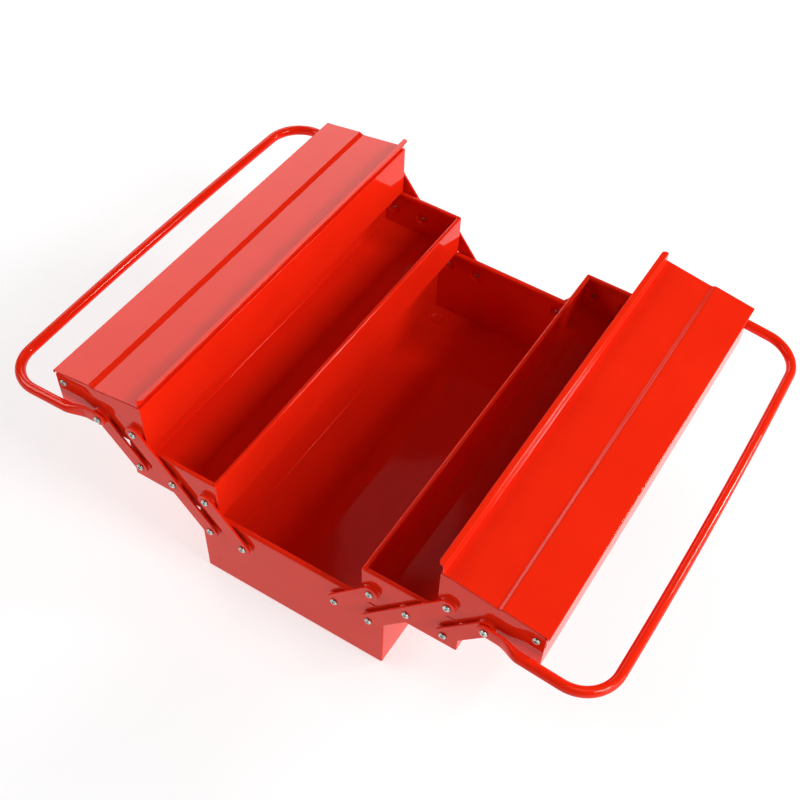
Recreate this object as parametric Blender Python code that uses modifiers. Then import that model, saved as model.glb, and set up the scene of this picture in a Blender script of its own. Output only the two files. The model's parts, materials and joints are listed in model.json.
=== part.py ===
"""Cantilever toolbox, standing open: one deep box, four trays on riveted links, two lids, two handles.

The trays fold out along +X (right) and -X (left), the box is long along Y, and +Z is up.
Dimensions are in millimetres; lengths go to Blender through MM, in metres.
"""

import math

import bmesh
import bpy
from mathutils import Matrix, Vector

MM = 0.001

# overall
LENGTH = 430.0
SHEET = 1.0
GAP = 0.3

# base box
BASE_WIDTH = 200.0
BASE_FLOOR_Z = 1.5
BASE_RIM_Z = 96.5
BASE_RIM_WIDTH = 5.5
RIM_DROP = 4.5
BEND_RADIUS = 1.6
FOOT_RADIUS = 8.0
FOOT_SLOPE = 1.6
FOOT_SINK = 0.5
FOOT_X = 86.0
FOOT_Y = 196.0

# trays, where they stand when the box is open
TRAY_WIDTH = 96.5
MID_INNER_X = 76.0
MID_FLOOR_Z = BASE_RIM_Z + GAP
MID_RIM_Z = 145.5
MID_RIM_WIDTH = 4.5
TOP_INNER_X = 150.0
TOP_FLOOR_Z = MID_RIM_Z + GAP
TOP_INNER_WALL_Z = 201.8
TOP_OUTER_WALL_Z = 188.4
TOP_HEM_WIDTH = 4.0
TOP_NOTCH_Z = 173.0
TOP_NOTCH_WIDTH = 2.0

# linkage: one link's pivots are STEP_X apart across and STEP_Z apart in height
PIVOT_SPACING = 36.5
STEP_X = 37.0
STEP_Z = 45.7
BASE_PIVOT_X = 87.0
BASE_PIVOT_Z = 73.5
LINK_WIDTH = 16.0
LINK_THICKNESS = 2.0
BOSS_HEIGHT = 2.0
BOSS_ROOT_RADIUS = 8.7
BOSS_TOP_RADIUS = 7.6
RIVET_HOLE_RADIUS = 1.9
RIVET_SHANK_RADIUS = 1.6
RIVET_HEAD_RADIUS = 3.5
RIVET_HEAD_HEIGHT = 1.6
RIVET_HEAD_RIM = 0.6
RIVET_DOME_RADIUS = 2.3
RIVET_TAIL_RADIUS = 2.6
RIVET_TAIL_HEIGHT = 1.4
RIVET_TAIL_TAPER = 0.7

# lid: laid out from its hinge, u outward along the plate and n square to it
LID_HINGE_X = 238.7
LID_HINGE_Z = 181.2
LID_TILT_DEG = 8.8
LID_OUTER_U = 8.55
LID_OUTER_N = 12.25
LID_STEP_OUTER_U = -34.8
LID_STEP_INNER_U = -38.0
LID_INNER_N = 9.67
LID_FOLD_U = -88.85
LIP_ROOT_U = -90.1
LIP_EDGE_U = -96.2
LIP_N = 18.9
LIP_END_SETBACK = 0.3
LIP_CORNER_RADIUS = 4.0
LID_HEM_DEPTH = 3.2
LID_EAR_RADIUS = 6.0
LID_FLANGE_N = 2.5
LID_FLANGE_END_U = -80.0
LID_CLEARANCE = 0.5

# handle: a round tube bent to a U, its ends pressed flat
TUBE_RADIUS = 5.0
TUBE_AXIS_Y = 225.4
HANDLE_REACH = 109.0
HANDLE_CORNER_RADIUS = 36.6
HANDLE_BOW = 2.5
BLADE_HALF_WIDTH = 7.25
BLADE_THICKNESS = 3.1
BLADE_STRAIGHT = 13.0
BLADE_BLEND_END = 34.0
HANDLE_REST_DEG = {"right": -6.0, "left": -2.0}

SIDES = {"right": 1, "left": -1}
ENDS = {"front": -1, "back": 1}

# pivots of the right side, in the XZ plane
STEP = Vector((STEP_X, 0.0, STEP_Z))
SPACING = Vector((PIVOT_SPACING, 0.0, 0.0))
BASE_OUTER = Vector((BASE_PIVOT_X, 0.0, BASE_PIVOT_Z))
BASE_INNER = BASE_OUTER - SPACING
MID_CENTRE = BASE_OUTER + STEP
MID_INNER = BASE_INNER + STEP
MID_OUTER = MID_CENTRE + SPACING
TOP_INNER = MID_CENTRE + STEP
TOP_OUTER = MID_OUTER + STEP
LID_HINGE = Vector((LID_HINGE_X, 0.0, LID_HINGE_Z))

# distances out from the middle, along Y, of the layers at a pivot
PANEL_OUT = LENGTH / 2
PANEL_IN = PANEL_OUT - SHEET
BOSS_OUT = PANEL_OUT + BOSS_HEIGHT
BOSS_IN = PANEL_IN + BOSS_HEIGHT
LINK_IN = BOSS_OUT + GAP
LINK_OUT = LINK_IN + LINK_THICKNESS
BLADE_IN = LINK_OUT + GAP
BLADE_OUT = BLADE_IN + BLADE_THICKNESS
EAR_OUT = PANEL_IN - GAP
EAR_IN = EAR_OUT - SHEET

BOSS_SIDES = 14
HOLE_SIDES = 10
RIVET_SIDES = 10

RED = (0.82, 0.03, 0.02, 1.0)
ZINC = (0.72, 0.74, 0.75, 1.0)


def clear_scene():
    for obj in list(bpy.data.objects):
        bpy.data.objects.remove(obj, do_unlink=True)


def new_collection(name):
    collection = bpy.data.collections.new(name)
    bpy.context.scene.collection.children.link(collection)
    return collection


def new_material(name, colour, metallic, roughness):
    material = bpy.data.materials.new(name)
    material.use_nodes = True
    shader = material.node_tree.nodes["Principled BSDF"]
    shader.inputs["Base Color"].default_value = colour
    shader.inputs["Metallic"].default_value = metallic
    shader.inputs["Roughness"].default_value = roughness
    material.diffuse_color = colour
    return material


def enamel(obj):
    obj.data.materials.append(new_material(obj.name, RED, 0.0, 0.18))


def mirrored(vector, side):
    return Vector((vector.x * side, vector.y, vector.z))


def add_object(name, mesh, collection, origin=Vector()):
    """Link a mesh modelled in place, in metres, with its origin moved to `origin`, in mm."""
    mesh.transform(Matrix.Translation(-origin * MM))
    obj = bpy.data.objects.new(name, mesh)
    obj.location = origin * MM
    collection.objects.link(obj)
    return obj


def mesh_from_bmesh(name, bm):
    mesh = bpy.data.meshes.new(name)
    bm.to_mesh(mesh)
    bm.free()
    return mesh


def add_boolean(obj, tool, operation):
    modifier = obj.modifiers.new(tool.name, "BOOLEAN")
    modifier.operation = operation
    modifier.solver = "EXACT"
    modifier.object = tool


def add_sheet(obj, bend_radius, bend_segments, angle_deg):
    """Round the bends of an open surface, then give it the thickness of the sheet, inward."""
    bevel = obj.modifiers.new("bends", "BEVEL")
    bevel.width = bend_radius * MM
    bevel.segments = bend_segments
    bevel.limit_method = "ANGLE"
    bevel.angle_limit = math.radians(angle_deg)
    solidify = obj.modifiers.new("sheet", "SOLIDIFY")
    solidify.thickness = SHEET * MM
    solidify.offset = -1.0
    solidify.use_even_offset = True


def arc(centre_x, centre_z, radius, from_deg, to_deg, steps):
    points = []
    for k in range(steps + 1):
        angle = math.radians(from_deg + (to_deg - from_deg) * k / steps)
        points.append((centre_x + radius * math.cos(angle), centre_z + radius * math.sin(angle)))
    return points


def curve_to_mesh(curve, name):
    """Mesh of a curve as it is evaluated, with its loose caps welded on."""
    holder = bpy.data.objects.new(name, curve)
    bpy.context.scene.collection.objects.link(holder)
    bpy.context.view_layer.update()
    evaluated = holder.evaluated_get(bpy.context.evaluated_depsgraph_get())
    mesh = bpy.data.meshes.new_from_object(evaluated)
    bpy.data.objects.remove(holder, do_unlink=True)
    bm = bmesh.new()
    bm.from_mesh(mesh)
    bmesh.ops.remove_doubles(bm, verts=bm.verts, dist=0.00001)
    bmesh.ops.recalc_face_normals(bm, faces=bm.faces)
    bm.to_mesh(mesh)
    bm.free()
    mesh.name = name
    return mesh


def outline_mesh(name, outline, thickness):
    """Flat outline, in mm, as a filled curve extruded to `thickness` about its own plane."""
    curve = bpy.data.curves.new(name, "CURVE")
    curve.dimensions = "2D"
    curve.fill_mode = "BOTH"
    curve.extrude = thickness / 2 * MM
    spline = curve.splines.new("POLY")
    spline.points.add(len(outline) - 1)
    for point, (x, y) in zip(spline.points, outline):
        point.co = (x * MM, y * MM, 0.0, 1.0)
    spline.use_cyclic_u = True
    return curve_to_mesh(curve, name)


def panel(name, collection, outline, y_low, y_high, side=1, origin=Vector()):
    """Outline drawn in XZ for the right side, between two Y positions; side -1 mirrors it."""
    outline = [(x * side, z) for x, z in outline]
    mesh = outline_mesh(name, outline, abs(y_high - y_low))
    upright = Matrix.Rotation(math.pi / 2, 4, "X")
    mesh.transform(Matrix.Translation((0.0, (y_low + y_high) / 2 * MM, 0.0)) @ upright)
    return add_object(name, mesh, collection, origin)


def cone_tool(name, collection, places, sides, radius_low, radius_high):
    """One tool of several separate cones; each place is (start point, end point) of an axis, in mm."""
    bm = bmesh.new()
    for start, end in places:
        axis = end - start
        turn = axis.to_track_quat("Z", "Y").to_matrix().to_4x4()
        matrix = Matrix.Translation((start + end) / 2 * MM) @ turn
        bmesh.ops.create_cone(bm, cap_ends=True, cap_tris=False, segments=sides, radius1=radius_low * MM,
                              radius2=radius_high * MM, depth=axis.length * MM, matrix=matrix)
    return add_object(name, mesh_from_bmesh(name, bm), collection)


def at_ends(pivots, y_from, y_to):
    """Axes through each pivot at both ends of the box, from y_from out to y_to."""
    places = []
    for pivot in pivots:
        for end in ENDS.values():
            places.append((Vector((pivot.x, end * y_from, pivot.z)), Vector((pivot.x, end * y_to, pivot.z))))
    return places


def emboss_pivots(obj, cutters, pivots):
    """Press a round stand-off outward at every pivot, hollow behind, with the rivet hole through it."""
    slope = (BOSS_ROOT_RADIUS - BOSS_TOP_RADIUS) / BOSS_HEIGHT
    start = PANEL_IN + SHEET / 2
    root = BOSS_TOP_RADIUS + slope * (BOSS_OUT - start)
    boss = cone_tool(obj.name + "_bosses", cutters, at_ends(pivots, start, BOSS_OUT), BOSS_SIDES, root,
                     BOSS_TOP_RADIUS)
    start = PANEL_IN - SHEET / 2
    root = BOSS_TOP_RADIUS - SHEET + slope * (BOSS_IN - start)
    hollow = cone_tool(obj.name + "_hollows", cutters, at_ends(pivots, start, BOSS_IN), BOSS_SIDES, root,
                       BOSS_TOP_RADIUS - SHEET)
    hole = cone_tool(obj.name + "_holes", cutters, at_ends(pivots, PANEL_IN, BOSS_OUT + SHEET), HOLE_SIDES,
                     RIVET_HOLE_RADIUS, RIVET_HOLE_RADIUS)
    add_boolean(obj, boss, "UNION")
    add_boolean(obj, hollow, "DIFFERENCE")
    add_boolean(obj, hole, "DIFFERENCE")


def open_tray(name, collection, x_middle, width, floor_z, rim_z, rim_width, origin):
    """Folded tray: an open box whose rim turns inward and then down, before the sheet gets its thickness."""
    bm = bmesh.new()
    centre = Vector((x_middle, 0.0, (floor_z + rim_z) / 2)) * MM
    size = Vector((width, LENGTH, rim_z - floor_z)) * MM
    bmesh.ops.create_cube(bm, size=1.0, matrix=Matrix.LocRotScale(centre, None, size))
    top = max(bm.faces, key=lambda face: face.calc_center_median().z)
    bmesh.ops.delete(bm, geom=[top], context="FACES_ONLY")
    for inward, down in ((rim_width, 0.0), (0.0, RIM_DROP)):
        rim = [edge for edge in bm.edges if edge.is_boundary]
        grown = bmesh.ops.extrude_edge_only(bm, edges=rim)["geom"]
        for vert in (item for item in grown if isinstance(item, bmesh.types.BMVert)):
            vert.co.x -= math.copysign(inward * MM, vert.co.x - centre.x)
            vert.co.y -= math.copysign(inward * MM, vert.co.y)
            vert.co.z -= down * MM
    tray = add_object(name, mesh_from_bmesh(name, bm), collection, origin)
    add_sheet(tray, BEND_RADIUS, 2, 30.0)
    return tray


def base_box(parts, cutters):
    base = open_tray("base_box", parts, 0.0, BASE_WIDTH, BASE_FLOOR_Z, BASE_RIM_Z, BASE_RIM_WIDTH, Vector())
    corners = [(x, y) for x in (-FOOT_X, FOOT_X) for y in (-FOOT_Y, FOOT_Y)]
    top = BASE_FLOOR_Z + FOOT_SINK
    foot_axes = [(Vector((x, y, 0.0)), Vector((x, y, top))) for x, y in corners]
    dimple_axes = [(Vector((x, y, SHEET)), Vector((x, y, top + SHEET))) for x, y in corners]
    tip = FOOT_RADIUS - FOOT_SLOPE
    feet = cone_tool("base_feet", cutters, foot_axes, BOSS_SIDES, tip, FOOT_RADIUS)
    dimples = cone_tool("base_dimples", cutters, dimple_axes, BOSS_SIDES, tip - SHEET, FOOT_RADIUS - SHEET)
    add_boolean(base, feet, "UNION")
    add_boolean(base, dimples, "DIFFERENCE")
    pivots = [mirrored(p, side) for side in SIDES.values() for p in (BASE_INNER, BASE_OUTER)]
    emboss_pivots(base, cutters, pivots)
    return base


def mid_tray(parts, cutters, side_name):
    side = SIDES[side_name]
    x_middle = (MID_INNER_X + TRAY_WIDTH / 2) * side
    tray = open_tray("mid_tray_" + side_name, parts, x_middle, TRAY_WIDTH, MID_FLOOR_Z, MID_RIM_Z,
                     MID_RIM_WIDTH, mirrored(MID_CENTRE, side))
    emboss_pivots(tray, cutters, [mirrored(p, side) for p in (MID_INNER, MID_CENTRE, MID_OUTER)])
    return tray


def from_hinge(u, n):
    """XZ point, on the right side, of a point given in the shut lid's own directions."""
    tilt = math.radians(LID_TILT_DEG)
    x = LID_HINGE_X + u * math.cos(tilt) + n * math.sin(tilt)
    z = LID_HINGE_Z - u * math.sin(tilt) + n * math.cos(tilt)
    return (x, z)


def top_tray(parts, cutters, side_name):
    """Tray under the lid: tall hemmed inner wall, low outer wall, end panels cut to the slope of the lid."""
    side = SIDES[side_name]
    name = "top_tray_" + side_name
    outer_x = TOP_INNER_X + TRAY_WIDTH
    high_n = LID_OUTER_N - SHEET - LID_CLEARANCE
    low_n = LID_INNER_N - SHEET - LID_CLEARANCE
    tilt = math.radians(LID_TILT_DEG)
    reach = (LID_HINGE_Z + low_n * math.cos(tilt) - TOP_INNER_WALL_Z) / math.sin(tilt)
    corner_deg = math.degrees(math.acos((outer_x - LID_HINGE_X) / high_n))
    outline = [(TOP_INNER_X, TOP_FLOOR_Z), (outer_x, TOP_FLOOR_Z)]
    outline += arc(LID_HINGE_X, LID_HINGE_Z, high_n, corner_deg, 90.0 - LID_TILT_DEG, 4)
    outline.append(from_hinge(LID_STEP_OUTER_U + SHEET, high_n))
    outline.append(from_hinge(LID_STEP_INNER_U + SHEET, low_n))
    outline.append(from_hinge(reach, low_n))
    outline.append((TOP_INNER_X, TOP_INNER_WALL_Z))
    tray = panel(name, parts, outline, -PANEL_OUT, PANEL_OUT, side, mirrored(TOP_INNER, side))

    hem_x = TOP_INNER_X + TOP_HEM_WIDTH
    above = TOP_INNER_WALL_Z + 20.0
    space = [(TOP_INNER_X + SHEET, TOP_FLOOR_Z + SHEET), (outer_x - SHEET, TOP_FLOOR_Z + SHEET)]
    space += [(outer_x - SHEET, above), (hem_x, above)]
    space += [(hem_x, TOP_INNER_WALL_Z - RIM_DROP), (hem_x - SHEET, TOP_INNER_WALL_Z - RIM_DROP)]
    space += [(hem_x - SHEET, TOP_INNER_WALL_Z - SHEET), (TOP_INNER_X + SHEET, TOP_INNER_WALL_Z - SHEET)]
    add_boolean(tray, panel(name + "_space", cutters, space, -PANEL_IN, PANEL_IN, side), "DIFFERENCE")
    low_x = outer_x - 2 * SHEET
    high_x = outer_x + 2 * SHEET
    trim = [(low_x, TOP_OUTER_WALL_Z), (high_x, TOP_OUTER_WALL_Z), (high_x, above), (low_x, above)]
    add_boolean(tray, panel(name + "_trim", cutters, trim, -PANEL_IN, PANEL_IN, side), "DIFFERENCE")
    notch = [(low_x, TOP_NOTCH_Z), (high_x, TOP_NOTCH_Z), (high_x, above), (low_x, above)]
    for end_name, end in ENDS.items():
        tool = panel(name + "_notch_" + end_name, cutters, notch, end * (PANEL_IN - TOP_NOTCH_WIDTH),
                     end * PANEL_IN, side)
        add_boolean(tray, tool, "DIFFERENCE")
    hinge_axes = at_ends([mirrored(LID_HINGE, side)], PANEL_IN - SHEET, PANEL_OUT + SHEET)
    hinge_holes = cone_tool(name + "_hinge_holes", cutters, hinge_axes, HOLE_SIDES, RIVET_HOLE_RADIUS,
                            RIVET_HOLE_RADIUS)
    add_boolean(tray, hinge_holes, "DIFFERENCE")
    emboss_pivots(tray, cutters, [mirrored(p, side) for p in (TOP_INNER, TOP_OUTER)])
    return tray


def lid(parts, cutters, side_name):
    """Sloped cover in one fold: hem, upper half, joggle, lower half, riser and flat lip, with hinge ears."""
    side = SIDES[side_name]
    name = "lid_" + side_name
    hinge = mirrored(LID_HINGE, side)
    section = [(LID_OUTER_U, LID_OUTER_N - LID_HEM_DEPTH), (LID_OUTER_U, LID_OUTER_N)]
    section += [(LID_STEP_OUTER_U, LID_OUTER_N), (LID_STEP_INNER_U, LID_INNER_N)]
    section += [(LID_FOLD_U, LID_INNER_N), (LIP_ROOT_U, LIP_N), (LIP_EDGE_U, LIP_N)]
    bm = bmesh.new()
    chain = []
    for u, n in section:
        x, z = from_hinge(u, n)
        chain.append(bm.verts.new((x * side * MM, -PANEL_OUT * MM, z * MM)))
    edges = [bm.edges.new(pair) for pair in zip(chain, chain[1:])]
    grown = bmesh.ops.extrude_edge_only(bm, edges=edges)["geom"]
    far = [item for item in grown if isinstance(item, bmesh.types.BMVert)]
    bmesh.ops.translate(bm, verts=far, vec=(0.0, LENGTH * MM, 0.0))
    bm.normal_update()
    widest = max(bm.faces, key=lambda face: face.calc_area())
    if widest.normal.z < 0:
        bmesh.ops.reverse_faces(bm, faces=bm.faces)
    cover = add_object(name, mesh_from_bmesh(name, bm), parts, hinge)
    add_sheet(cover, 1.2, 2, 20.0)

    flange = [(LID_FLANGE_END_U, LID_FLANGE_N + 1.5), (LID_FLANGE_END_U + 1.5, LID_FLANGE_N)]
    flange += [(-12.0, LID_FLANGE_N)] + arc(0.0, 0.0, LID_EAR_RADIUS, 200.0, 360.0, 6)
    flange += [(LID_EAR_RADIUS, LID_OUTER_N - SHEET / 2), (LID_STEP_OUTER_U, LID_OUTER_N - SHEET / 2)]
    flange += [(LID_STEP_INNER_U, LID_INNER_N - SHEET / 2), (LID_FLANGE_END_U, LID_INNER_N - SHEET / 2)]
    flange_xz = [from_hinge(u, n) for u, n in flange]
    for end_name, end in ENDS.items():
        ear = panel(name + "_ear_" + end_name, cutters, flange_xz, end * EAR_IN, end * EAR_OUT, side)
        add_boolean(cover, ear, "UNION")
    ear_axes = at_ends([hinge], EAR_IN - SHEET, EAR_OUT + 0.2)
    ear_holes = cone_tool(name + "_ear_holes", cutters, ear_axes, HOLE_SIDES, RIVET_HOLE_RADIUS,
                          RIVET_HOLE_RADIUS)
    add_boolean(cover, ear_holes, "DIFFERENCE")
    for end_name, end in ENDS.items():
        add_boolean(cover, lip_trim(name + "_lip_trim_" + end_name, cutters, side, end), "DIFFERENCE")
    return cover


def lip_trim(name, cutters, side, end):
    """Tool that trims one end of the flat lip and rounds its free corner."""
    width = LIP_ROOT_U - LIP_EDGE_U
    start = 2 * SHEET
    stop = PANEL_OUT - LIP_END_SETBACK
    past = PANEL_OUT + SHEET
    r = LIP_CORNER_RADIUS
    outline = [(stop, start)] + arc(stop - r, width - r, r, 0.0, 90.0, 5)
    outline += [(stop - r, width + SHEET), (past, width + SHEET), (past, start)]
    mesh = outline_mesh(name, [(y * end, w) for y, w in outline], 4 * SHEET)
    root_x, root_z = from_hinge(LIP_ROOT_U, LIP_N - SHEET / 2)
    edge_x, edge_z = from_hinge(LIP_EDGE_U, LIP_N - SHEET / 2)
    inward = Vector(((edge_x - root_x) * side, 0.0, edge_z - root_z)).normalized()
    lengthwise = Vector((0.0, 1.0, 0.0))
    turn = Matrix((lengthwise, inward, lengthwise.cross(inward))).transposed().to_4x4()
    mesh.transform(Matrix.Translation(Vector((root_x * side, 0.0, root_z)) * MM) @ turn)
    return add_object(name, mesh, cutters)


def link(parts, cutters, name, start, spans, side, end):
    """Flat bar with round ends and a rivet hole at every pivot."""
    last = start + STEP * spans
    slope = math.degrees(math.atan2(STEP_Z, STEP_X))
    outline = arc(start.x, start.z, LINK_WIDTH / 2, slope + 90.0, slope + 270.0, 8)
    outline += arc(last.x, last.z, LINK_WIDTH / 2, slope - 90.0, slope + 90.0, 8)
    bar = panel(name, parts, outline, end * LINK_IN, end * LINK_OUT, side, mirrored(start, side))
    axes = []
    for k in range(spans + 1):
        pivot = mirrored(start + STEP * k, side)
        inner = Vector((pivot.x, end * (LINK_IN - SHEET), pivot.z))
        outer = Vector((pivot.x, end * (LINK_OUT + SHEET), pivot.z))
        axes.append((inner, outer))
    holes = cone_tool(name + "_holes", cutters, axes, HOLE_SIDES, RIVET_HOLE_RADIUS, RIVET_HOLE_RADIUS)
    add_boolean(bar, holes, "DIFFERENCE")
    return bar


def handle_path():
    """Centre line of the bent tube, reach along X from the pivots, front end first."""
    r = BLADE_HALF_WIDTH
    front = [(-r * s, -TUBE_AXIS_Y) for s in (1.0, 0.92, 0.7, 0.4)]
    front += [(u, -TUBE_AXIS_Y) for u in (0.0, 7.0, BLADE_STRAIGHT, 18.0, 23.0, 28.0, BLADE_BLEND_END)]
    corner = HANDLE_CORNER_RADIUS
    front += arc(HANDLE_REACH - corner, corner - TUBE_AXIS_Y, corner, -90.0, 0.0, 7)
    straight = TUBE_AXIS_Y - corner
    for k in (1, 2, 3):
        y = -straight * (1.0 - k / 4)
        front.append((HANDLE_REACH + HANDLE_BOW * (1.0 - (y / straight) ** 2), y))
    middle = [(HANDLE_REACH + HANDLE_BOW, 0.0)]
    return front + middle + [(u, -y) for u, y in reversed(front)]


def press_flat(vert):
    """Move one vertex of the round tube to where it lies once the end is pressed to a blade."""
    u = vert.co.x / MM
    if u > BLADE_BLEND_END:
        return
    end = math.copysign(1.0, vert.co.y)
    t = min(1.0, max(0.0, (u - BLADE_STRAIGHT) / (BLADE_BLEND_END - BLADE_STRAIGHT)))
    roundness = t * t * (3.0 - 2.0 * t)
    half_width = BLADE_HALF_WIDTH
    if u < 0.0:
        half_width = math.sqrt(max(0.3, BLADE_HALF_WIDTH ** 2 - u ** 2))
    half_width += (TUBE_RADIUS - half_width) * roundness
    half_depth = (BLADE_THICKNESS + (2 * TUBE_RADIUS - BLADE_THICKNESS) * roundness) / 2
    blade_y = (BLADE_IN + BLADE_OUT) / 2
    centre_y = blade_y + (TUBE_AXIS_Y - blade_y) * roundness
    power = 0.6 + 0.4 * roundness
    across = vert.co.z / MM / TUBE_RADIUS
    depth = (vert.co.y * end / MM - TUBE_AXIS_Y) / TUBE_RADIUS
    vert.co.z = half_width * math.copysign(abs(across) ** power, across) * MM
    vert.co.y = end * (centre_y + half_depth * math.copysign(abs(depth) ** power, depth)) * MM


def handle(parts, cutters, side_name):
    side = SIDES[side_name]
    name = "handle_" + side_name
    curve = bpy.data.curves.new(name, "CURVE")
    curve.dimensions = "3D"
    curve.bevel_depth = TUBE_RADIUS * MM
    curve.bevel_resolution = 2
    curve.use_fill_caps = True
    spline = curve.splines.new("POLY")
    path = handle_path()
    spline.points.add(len(path) - 1)
    for point, (u, y) in zip(spline.points, path):
        point.co = (u * MM, y * MM, 0.0, 1.0)
    mesh = curve_to_mesh(curve, name)
    for vert in mesh.vertices:
        press_flat(vert)
    if side < 0:
        mesh.transform(Matrix.Scale(-1.0, 4, (1.0, 0.0, 0.0)))
        mesh.flip_normals()
    place = Matrix.Translation(mirrored(TOP_OUTER, side) * MM)
    place = place @ Matrix.Rotation(math.radians(-HANDLE_REST_DEG[side_name] * side), 4, "Y")
    tube = bpy.data.objects.new(name, mesh)
    tube.matrix_world = place
    parts.objects.link(tube)
    axes = at_ends([mirrored(TOP_OUTER, side)], BLADE_IN - SHEET, BLADE_OUT + SHEET)
    holes = cone_tool(name + "_holes", cutters, axes, HOLE_SIDES, RIVET_HOLE_RADIUS, RIVET_HOLE_RADIUS)
    add_boolean(tube, holes, "DIFFERENCE")
    return tube


def rivet_mesh(name, grip):
    """Blind rivet turned about Z: domed head from z = 0 up, shank `grip` long, set tail below."""
    profile = [(0.0, RIVET_HEAD_HEIGHT), (RIVET_DOME_RADIUS, RIVET_HEAD_HEIGHT)]
    profile.append((RIVET_HEAD_RADIUS, RIVET_HEAD_RIM))
    profile += [(RIVET_HEAD_RADIUS, 0.0), (RIVET_SHANK_RADIUS, 0.0), (RIVET_SHANK_RADIUS, -grip)]
    profile.append((RIVET_TAIL_RADIUS, -grip))
    profile.append((RIVET_TAIL_RADIUS - RIVET_TAIL_TAPER, -grip - RIVET_TAIL_HEIGHT))
    profile.append((0.0, -grip - RIVET_TAIL_HEIGHT))
    mesh = bpy.data.meshes.new(name)
    points = [(radius * MM, 0.0, z * MM) for radius, z in profile]
    mesh.from_pydata(points, [(k, k + 1) for k in range(len(points) - 1)], [])
    return mesh


def rivet(parts, name, mesh, pivot, end, head_y):
    piece = bpy.data.objects.new(name, mesh)
    piece.location = Vector((pivot.x, end * head_y, pivot.z)) * MM
    piece.rotation_euler = (-end * math.pi / 2, 0.0, 0.0)
    parts.objects.link(piece)
    screw = piece.modifiers.new("turned", "SCREW")
    screw.angle = 2 * math.pi
    screw.steps = RIVET_SIDES
    screw.render_steps = RIVET_SIDES
    screw.use_merge_vertices = True
    screw.merge_threshold = 0.00005
    return piece


def pivot_empty(parts, name, location):
    empty = bpy.data.objects.new(name, None)
    empty.location = location * MM
    empty.empty_display_size = 0.02
    parts.objects.link(empty)
    return empty


def attach(child, parent):
    bpy.context.view_layer.update()
    child.parent = parent
    child.matrix_parent_inverse = parent.matrix_world.inverted()


def build_side(parts, cutters, base, rivet_kinds, side_name):
    side = SIDES[side_name]
    fan = pivot_empty(parts, "linkage_" + side_name, mirrored(BASE_OUTER, side))
    attach(fan, base)
    mid = mid_tray(parts, cutters, side_name)
    top = top_tray(parts, cutters, side_name)
    cover = lid(parts, cutters, side_name)
    tube = handle(parts, cutters, side_name)
    for piece, holder in ((mid, fan), (top, fan), (cover, top), (tube, top)):
        enamel(piece)
        attach(piece, holder)
    for end_name, end in ENDS.items():
        where = side_name + "_" + end_name
        bars = [
            ("long_link_", BASE_OUTER, 2, fan),
            ("lower_link_", BASE_INNER, 1, base),
            ("upper_link_", MID_OUTER, 1, mid),
        ]
        for label, start, spans, holder in bars:
            bar = link(parts, cutters, label + where, start, spans, side, end)
            enamel(bar)
            attach(bar, holder)
        rivets = [
            ("base_inner_", BASE_INNER, base, "link", LINK_OUT),
            ("base_outer_", BASE_OUTER, base, "link", LINK_OUT),
            ("mid_inner_", MID_INNER, mid, "link", LINK_OUT),
            ("mid_centre_", MID_CENTRE, mid, "link", LINK_OUT),
            ("mid_outer_", MID_OUTER, mid, "link", LINK_OUT),
            ("top_inner_", TOP_INNER, top, "link", LINK_OUT),
            ("top_outer_", TOP_OUTER, top, "handle", BLADE_OUT),
            ("lid_hinge_", LID_HINGE, top, "lid", PANEL_OUT),
        ]
        for label, pivot, holder, kind, face_y in rivets:
            name = "rivet_" + label + where
            piece = rivet(parts, name, rivet_kinds[kind], mirrored(pivot, side), end, face_y + GAP)
            attach(piece, holder)


def main():
    clear_scene()
    parts = new_collection("cantilever_toolbox")
    cutters = new_collection("cutters")
    rivet_kinds = {
        "link": rivet_mesh("rivet_link", LINK_OUT + GAP - (BOSS_IN - GAP)),
        "handle": rivet_mesh("rivet_handle", BLADE_OUT + GAP - (BOSS_IN - GAP)),
        "lid": rivet_mesh("rivet_lid", PANEL_OUT + GAP - (EAR_IN - GAP)),
    }
    zinc = new_material("zinc_rivet", ZINC, 1.0, 0.3)
    for mesh in rivet_kinds.values():
        mesh.materials.append(zinc)
    base = base_box(parts, cutters)
    enamel(base)
    for side_name in SIDES:
        build_side(parts, cutters, base, rivet_kinds, side_name)
    for tool in cutters.objects:
        tool.hide_render = True
        tool.display_type = "WIRE"


main()
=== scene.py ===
import json
import math

import bmesh
import bpy
from mathutils import Matrix, Vector


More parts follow.
